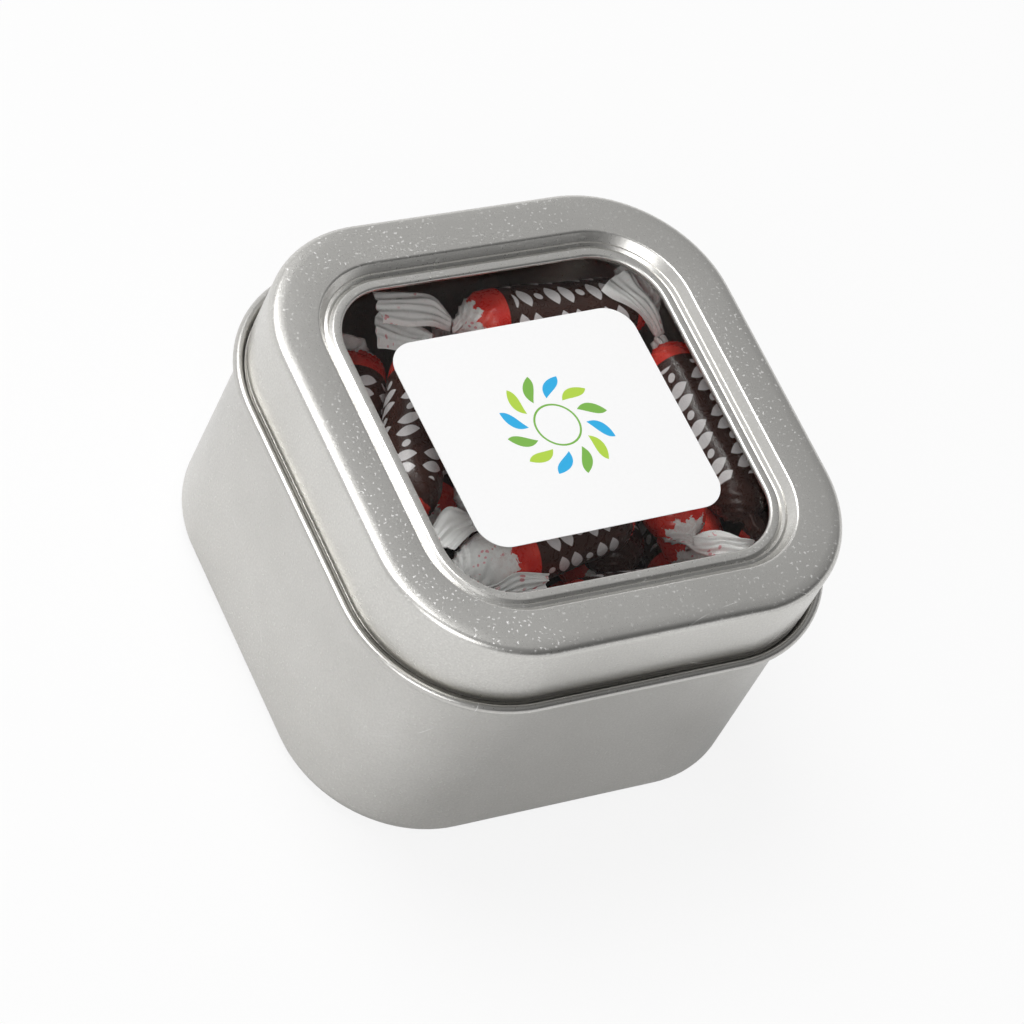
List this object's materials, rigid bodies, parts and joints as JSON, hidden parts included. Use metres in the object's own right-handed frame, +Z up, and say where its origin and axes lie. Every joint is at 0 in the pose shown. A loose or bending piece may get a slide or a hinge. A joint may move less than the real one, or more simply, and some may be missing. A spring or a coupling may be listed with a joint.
{
  "type": "window tin",
  "caption": "Square tinplate tin with round corners, a beaded seat, a slip lid with a clear window and a sticker, filled with twist-wrapped chews.",
  "frame": {"origin": "centre of the base, on the plane that the tin stands on", "axes": "+Z up through the lid; +X along the sticker's reading direction; +Y towards the sticker's top"},
  "size_m": [0.0984, 0.0984, 0.0604],
  "materials": {
    "tinplate_body": "satin",
    "tinplate_lid": "satin",
    "clear_window": "clear plastic sheet",
    "sticker": "satin white",
    "chew_wrapper": "waxed"
  },
  "bodies": {
    "tin": {"tin_body": "tinplate_body", "chew_01": "chew_wrapper", "chew_02": "chew_wrapper", "chew_03": "chew_wrapper", "chew_04": "chew_wrapper", "chew_05": "chew_wrapper", "chew_06": "chew_wrapper", "chew_07": "chew_wrapper", "chew_08": "chew_wrapper", "chew_09": "chew_wrapper", "chew_10": "chew_wrapper", "chew_11": "chew_wrapper", "chew_12": "chew_wrapper", "chew_13": "chew_wrapper", "chew_14": "chew_wrapper", "chew_15": "chew_wrapper", "chew_16": "chew_wrapper", "chew_17": "chew_wrapper", "chew_18": "chew_wrapper", "chew_19": "chew_wrapper", "chew_20": "chew_wrapper", "chew_21": "chew_wrapper", "chew_22": "chew_wrapper"},
    "lid": {"lid_shell": "tinplate_lid", "window_sheet": "clear_window", "label": "sticker"}
  },
  "joints": [
    {"name": "lid_lift", "type": "slide", "parent": "tin", "child": "lid", "axis": [0, 0, 1], "range_m": [0, 0.04]}
  ]
}
